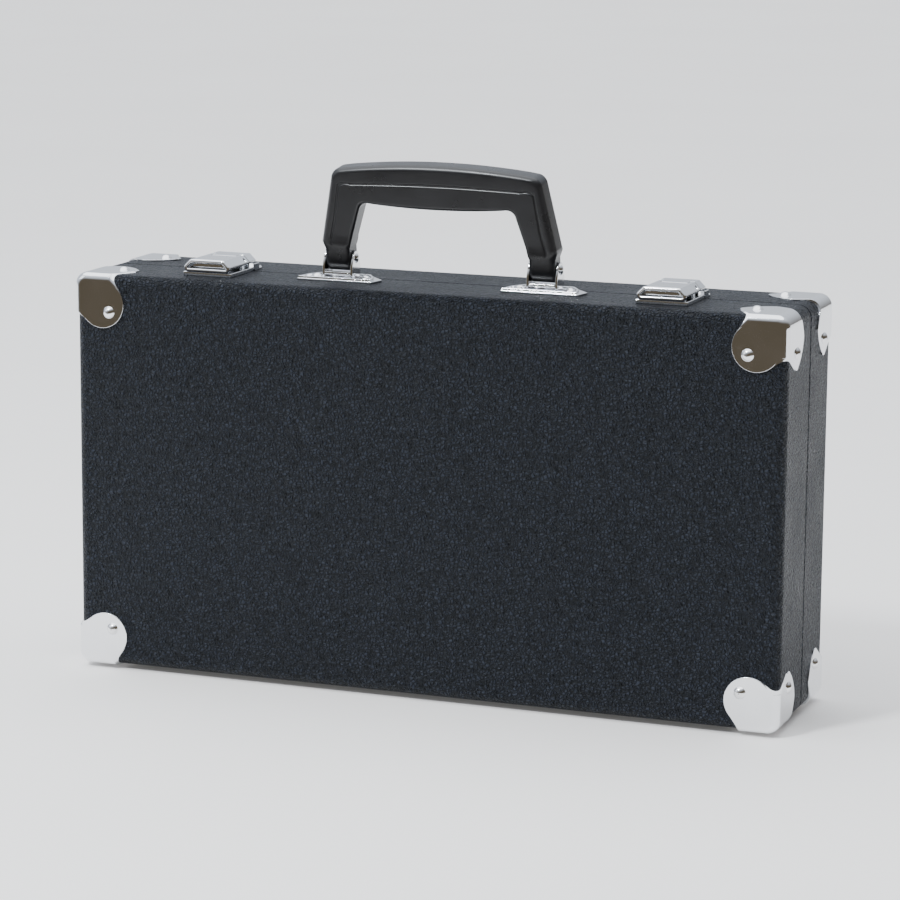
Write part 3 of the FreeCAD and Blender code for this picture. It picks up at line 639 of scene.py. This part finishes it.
def grip_stations():
    """Sections of the right half, from the pivot end to the middle: outer and inner point,
    half thickness, distance of the groove from the outer edge, and depth of the groove (0 to 1)."""
    inner, outer = GRIP_PIVOT - GRIP_TAB, GRIP_PIVOT + GRIP_TAB

    def top(x):
        return x, bow(x, *GRIP_CORNER, GRIP_CROWN)

    def belly(x):
        return x, bow(x, *GRIP_CROTCH, GRIP_BELLY)

    # The round end that holds the pin; the last step stops just short of a sharp edge.
    rows = []
    for k in range(8, -1, -1):
        angle = k * math.pi / 16 * 0.96
        h = GRIP_RISE - GRIP_TAB_RADIUS * math.sin(angle)
        rows.append(((outer, h), (inner, h), GRIP_TAB_RADIUS * math.cos(angle), GROOVE_LEG, 0.0))
    # The tab, and the widening to the full leg.
    waist = (inner - 1.8, GRIP_WAIST[1])
    rows.append(((outer, 17.5), (inner, 17.5), GRIP_TAB_RADIUS, GROOVE_LEG, 0.0))
    rows.append(((outer, GRIP_FOOT), (inner, GRIP_FOOT), GRIP_TAB_RADIUS, GROOVE_LEG, 0.0))
    rows.append(((outer + 0.7, 22.4), (inner - 0.5, 22.0), GRIP_HALF, GROOVE_LEG, 0.0))
    rows.append((GRIP_HIP, (inner - 1.2, 24.5), GRIP_HALF, GROOVE_LEG, 0.15))
    rows.append((GRIP_WAIST, waist, GRIP_HALF, GROOVE_LEG, 1.0))
    # Up the leg, round the corner and along the top.
    outer_arc = arc_points(GRIP_HIP, GRIP_CORNER, top(33.0), GRIP_CORNER_RADIUS, 8)
    inner_arc = arc_points((inner, GRIP_FOOT), GRIP_CROTCH, belly(24.0), GRIP_CROTCH_RADIUS, 8)
    for k in range(1, 8):
        share = k / 7
        groove = GROOVE_LEG + (GROOVE_SHOULDER - GROOVE_LEG) * share
        rows.append((Vector(GRIP_WAIST).lerp(outer_arc[0], share), Vector(waist).lerp(inner_arc[0], share),
                     GRIP_HALF, groove, 1.0))
    for k in range(1, 9):
        groove = GROOVE_SHOULDER + (GROOVE_TOP - GROOVE_SHOULDER) * k / 8
        rows.append((outer_arc[k], inner_arc[k], GRIP_HALF, groove, 1.0))
    for k in range(1, 15):
        share = 1 - k / 14
        rows.append((top(outer_arc[-1].x * share), belly(inner_arc[-1].x * share),
                     GRIP_HALF, GROOVE_TOP, 1.0))
    return rows


def grip_section(outer, inner, half, groove, depth):
    """Closed section: round outer edge, band, groove, sunk panel and round inner edge, both sides."""
    outer, inner = Vector(outer), Vector(inner)
    across = inner - outer
    width = across.length
    across = across / width
    big = min(OUTER_ROUNDING, half * 0.8)
    small = min(INNER_ROUNDING, half * 0.6)
    quarter = [k * math.pi / 10 for k in range(6)]
    low, floor = GROOVE_DEPTH * depth, PANEL_DEPTH * depth
    edge = half - floor
    front = [(big * (1 - math.cos(a)), half - big * (1 - math.sin(a))) for a in quarter]
    front += [(groove - 1.1, half), (groove - 0.6, half - 0.12 * depth), (groove - 0.3, half - low * 0.6),
              (groove, half - low), (groove + 0.7, half - low), (groove + 1.0, half - low * 0.8),
              (groove + 1.4, edge), (groove + 1.9, edge)]
    front += [(width - small * (1 - math.sin(a)), edge - small * (1 - math.cos(a))) for a in quarter]
    points = []
    for s, t in [(s, -t) for s, t in front] + front[::-1]:
        spot = outer + across * s
        points.append(Vector((spot.x, t, spot.y)))
    return points


def loft(name, rings):
    """Closed skin through rings of points in millimetres, with flat ends."""
    size = len(rings[0])
    verts = [point * MM for ring in rings for point in ring]
    faces = []
    for k in range(len(rings) - 1):
        for i in range(size):
            j = (i + 1) % size
            faces.append((k * size + i, k * size + j, (k + 1) * size + j, (k + 1) * size + i))
    faces.append(tuple(range(size))[::-1])
    faces.append(tuple(range((len(rings) - 1) * size, len(rings) * size)))
    return linked(name, smooth_mesh(name, verts, faces))


def make_grip():
    """The grip is built upright on the case top, then leaned about its pivots."""
    half = [grip_section(*row) for row in grip_stations()]
    other = [[Vector((-p.x, p.y, p.z)) for p in ring] for ring in half[-2::-1]]
    obj = loft("grip", half + other)
    obj.modifiers.new("shading", "WEIGHTED_NORMAL").keep_sharp = True
    low, high = (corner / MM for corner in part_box("handle_clevis_right"))
    case_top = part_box("base_covering")[1].z / MM
    pivot = Vector((0.0, (low.y + high.y) / 2, case_top + GRIP_RISE))
    place = Matrix.Translation(pivot * MM) @ Matrix.Rotation(math.radians(GRIP_LEAN), 4, "X")
    obj.data.transform(place @ Matrix.Translation(Vector((0.0, 0.0, -GRIP_RISE)) * MM))
    dress(obj, "black_plastic", "handle", "handle_grip")


# ---- soft layers --------------------------------------------------------------------------
def layer(name, low, high, front, pitch, relief, edge):
    """Flat pad that fills a box, with relief on the face towards front (1 is +Y, -1 is -Y)."""
    columns = steps(low.x, high.x, pitch * MM)
    rows = steps(low.z, high.z, pitch * MM)
    back_y, face_y = (low.y, high.y) if front > 0 else (high.y, low.y)
    verts, faces = [], []
    for z in rows:
        for x in columns:
            gap = min(x - low.x, high.x - x, z - low.z, high.z - z)
            sink = edge * MM * (1 - math.sqrt(max(0.0, 1 - (1 - min(gap / (edge * MM), 1.0)) ** 2)))
            verts.append((x, face_y - front * (sink + relief(x, z) * MM), z))
    wide = len(columns)
    for r in range(len(rows) - 1):
        for c in range(wide - 1):
            k = r * wide + c
            faces.append((k, k + 1, k + wide + 1, k + wide))
    rim = list(range(wide)) + [r * wide + wide - 1 for r in range(1, len(rows))]
    rim += [(len(rows) - 1) * wide + c for c in range(wide - 2, -1, -1)]
    rim += [r * wide for r in range(len(rows) - 2, 0, -1)]
    start, size = len(verts), len(rim)
    verts += [(verts[k][0], back_y, verts[k][2]) for k in rim]
    for k in range(size):
        faces.append((rim[k], rim[(k + 1) % size], start + (k + 1) % size, start + k))
    faces.append(tuple(range(start, start + size)))
    mesh = smooth_mesh(name, verts, faces)
    mesh.set_sharp_from_angle(angle=math.radians(50))
    return linked(name, mesh)


def egg_crate(x, z):
    """Depth in millimetres below the peaks of profiled foam."""
    turn = 2 * math.pi / (FOAM_PITCH * MM)
    return FOAM_RELIEF * (0.5 - 0.5 * math.cos(turn * x) * math.cos(turn * z))


def worn_pile(x, z):
    """Depth in millimetres below the highest loops of the carpet."""
    return PILE_RELIEF * (1 + noise.noise(Vector((x * PILE_PATCHES, z * PILE_PATCHES, 0.0))))


def make_soft_layers():
    """The foam pad in the lid and the carpet in the base."""
    pad = layer("foam_pad", *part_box("lid_foam_pad"), -1, 2.6, egg_crate, 1.6)
    dress(pad, "foam", "lid", "lid_foam_pad")
    pile = layer("carpet", *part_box("base_carpet"), 1, 4.0, worn_pile, 1.0)
    dress(pile, "loop_carpet", "base", "base_carpet")


# ---- metal parts with their cut edges rounded ---------------------------------------------
def rolled_lip(work, node):
    """Adds to a latch lever its rolled front edge, a closed loop of round bead, and the sheet
    that closes the lever's mouth behind it."""
    low, high = (Vector(corner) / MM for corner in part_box(node))
    middle = (low.x + high.x) / 2
    half = (high.x - low.x) / 2
    front, top, foot = low.y + LIP_BEAD * 0.55, high.z - LIP_BEAD * 0.8, low.z + LIP_BEAD * 0.9
    across, down = LIP_SHOULDER
    right = [(half - across, top), (half - LIP_INSET, top - down), (half - LIP_FOOT_INSET, foot)]
    left = [(-x, z) for x, z in right[::-1]]
    corners = [left[-1]] + right + left[:-1]
    path = []
    for k, corner in enumerate(corners):
        before, after = corners[k - 1], corners[(k + 1) % len(corners)]
        path += arc_points(before, corner, after, 1.6 if k < 2 else 1.1, 5)

    def point(place, y):
        return work.verts.new(Vector((middle + place.x, y, place.y)) * MM)

    rings = []
    for k, place in enumerate(path):
        along = (path[(k + 1) % len(path)] - path[k - 1]).normalized()
        out = Vector((along.y, -along.x)) * LIP_BEAD
        angles = [2 * math.pi * step / LIP_SIDES for step in range(LIP_SIDES)]
        rings.append([point(place + out * math.cos(a), front + LIP_BEAD * math.sin(a)) for a in angles])
    faces = []
    for k, ring in enumerate(rings):
        other = rings[(k + 1) % len(rings)]
        for i in range(LIP_SIDES):
            j = (i + 1) % LIP_SIDES
            faces.append(work.faces.new((ring[i], ring[j], other[j], other[i])))
    mouth = front + MOUTH_DEPTH
    near, far = [[point(place, y) for place in path] for y in (mouth, mouth + MOUTH_SHEET)]
    for k in range(len(path)):
        j = (k + 1) % len(path)
        faces.append(work.faces.new((near[k], near[j], far[j], far[k])))
    faces.append(work.faces.new(near))
    faces.append(work.faces.new(far[::-1]))
    bmesh.ops.recalc_face_normals(work, faces=faces)


def softened(node, slot, width, extra=None, cut=False):
    """A CAD shape with its flat faces whole again and its cut edges rounded."""
    source = NODES[node]
    mesh = source.data.copy()
    work = bmesh.new()
    work.from_mesh(mesh)
    bmesh.ops.remove_doubles(work, verts=work.verts, dist=0.000005)
    bmesh.ops.dissolve_limit(work, angle_limit=math.radians(0.6), verts=work.verts, edges=work.edges)
    if cut:
        # Faces with openings are cut up again, because a bevel can't keep them whole.
        bmesh.ops.triangulate(work, faces=[face for face in work.faces if len(face.verts) > 4])
    if extra:
        extra(work, node)
    work.to_mesh(mesh)
    work.free()
    mesh.polygons.foreach_set("use_smooth", [True] * len(mesh.polygons))
    obj = linked(node + "_fine", mesh)
    bevel = obj.modifiers.new("edges", "BEVEL")
    bevel.width = width * MM
    bevel.segments = 3
    bevel.limit_method = "ANGLE"
    bevel.angle_limit = math.radians(32.0)
    bevel.use_clamp_overlap = False
    bevel.miter_outer = "MITER_ARC"
    obj.modifiers.new("shading", "WEIGHTED_NORMAL").keep_sharp = True
    dress(obj, slot, source["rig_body"], node)


def make_hardware():
    """Handle mounts, latches and hinges."""
    for side in ("left", "right"):
        softened("handle_clevis_" + side, "chrome_plate", 0.3)
        softened("handle_plate_" + side, "chrome_plate", 0.28, cut=True)
        softened("latch_" + side + "_plate", "chrome_plate", 0.45)
        softened("latch_" + side + "_lever", "chrome_plate", 0.3, extra=rolled_lip)
        softened("latch_" + side + "_claw", "chrome_plate", 0.25)
        softened("latch_" + side + "_keeper", "chrome_plate", 0.25)
        softened("hinge_" + side + "_base_leaf", "nickel", 0.2)
        softened("hinge_" + side + "_lid_leaf", "nickel", 0.2)


make_corners()
make_grip()
make_soft_layers()
make_hardware()


# ---- camera, light and ground -------------------------------------------------------------
def make_camera():
    data = bpy.data.cameras.new("camera")
    data.lens = CAMERA_LENS
    data.sensor_width = 36.0
    data.clip_end = 50.0
    camera = linked("camera", data)
    turn = Matrix.Rotation(math.radians(CAMERA_YAW), 4, "Z")
    tilt = Matrix.Rotation(math.radians(90.0 - CAMERA_PITCH), 4, "X")
    roll = Matrix.Rotation(math.radians(CAMERA_ROLL), 4, "Z")
    camera.matrix_world = Matrix.Translation(CAMERA_PLACE) @ turn @ tilt @ roll
    bpy.context.scene.camera = camera


def make_ground():
    """Pale level floor that ends in front of the case with a rounded edge."""
    path = [(FLOOR_FRONT, -FLOOR_DROP), (FLOOR_FRONT, -FLOOR_EDGE)]
    for k in range(1, 5):
        angle = k * math.pi / 8
        path.append((FLOOR_FRONT + FLOOR_EDGE * (1 - math.cos(angle)), -FLOOR_EDGE * (1 - math.sin(angle))))
    path += [(y, 0.0) for y in (-0.3, 0.4, 1.5, 5.0, FLOOR_FAR)]
    count = len(path)
    mesh = bpy.data.meshes.new("ground")
    mesh.from_pydata([(x, y, z) for x in (-FLOOR_HALF, FLOOR_HALF) for y, z in path], [],
                     [(k, k + 1, count + k + 1, count + k) for k in range(count - 1)])
    mesh.polygons.foreach_set("use_smooth", [True] * len(mesh.polygons))
    mesh.materials.append(painted_floor())
    linked("ground", mesh)


def make_room():
    """The room around: dark low down, in front and to the right, and pale overhead."""
    world = bpy.data.worlds.new("studio")
    world.use_nodes = True
    bpy.context.scene.world = world
    nodes, links = world.node_tree.nodes, world.node_tree.links
    split = nodes.new("ShaderNodeSeparateXYZ")
    links.new(nodes.new("ShaderNodeTexCoord").outputs["Generated"], split.inputs[0])
    height = split.outputs["Z"]
    for axis, share in (("X", -0.5), ("Y", 0.28)):
        lean = nodes.new("ShaderNodeMath")
        lean.operation = "MULTIPLY_ADD"
        lean.inputs[1].default_value = share
        links.new(split.outputs[axis], lean.inputs[0])
        links.new(height, lean.inputs[2])
        height = lean.outputs[0]
    ramp = nodes.new("ShaderNodeMapRange")
    ramp.interpolation_type = "SMOOTHSTEP"
    ramp.inputs["From Min"].default_value = -0.10
    ramp.inputs["From Max"].default_value = 0.75
    links.new(height, ramp.inputs["Value"])
    mix = nodes.new("ShaderNodeMix")
    mix.data_type = "RGBA"
    mix.inputs[6].default_value = ROOM_LOW
    mix.inputs[7].default_value = ROOM_HIGH
    links.new(ramp.outputs["Result"], mix.inputs[0])
    background = nodes["Background"]
    background.inputs["Strength"].default_value = 0.9
    links.new(mix.outputs[2], background.inputs["Color"])


def softbox(name, place, target, size, power, colour):
    """Square area light in metres and watts, turned towards its target."""
    data = bpy.data.lights.new(name, "AREA")
    data.shape = "RECTANGLE"
    data.size = data.size_y = size
    data.energy = power
    data.color = colour
    lamp = linked(name, data)
    lamp.location = place
    lamp.rotation_euler = (Vector(target) - Vector(place)).to_track_quat("-Z", "Y").to_euler()


def make_light():
    """A wide soft light from above for the whole floor, a fill and a small key that picks out grain."""
    sky = bpy.data.lights.new("overhead", "SUN")
    sky.energy = 2.6
    sky.angle = math.radians(75.0)
    sky.color = (0.97, 0.985, 1.0)
    linked("overhead", sky).rotation_euler = (math.radians(-4.0), math.radians(-8.0), 0.0)
    softbox("left_fill", (-2.2, -1.4, 1.5), (0.0, 0.0, 0.1), 1.2, 8.0, (0.95, 0.975, 1.0))
    softbox("key", (-0.75, -1.5, 2.0), (0.0, 0.0, 0.12), 0.35, 55.0, (0.93, 0.97, 1.0))


make_camera()
make_ground()
make_room()
make_light()
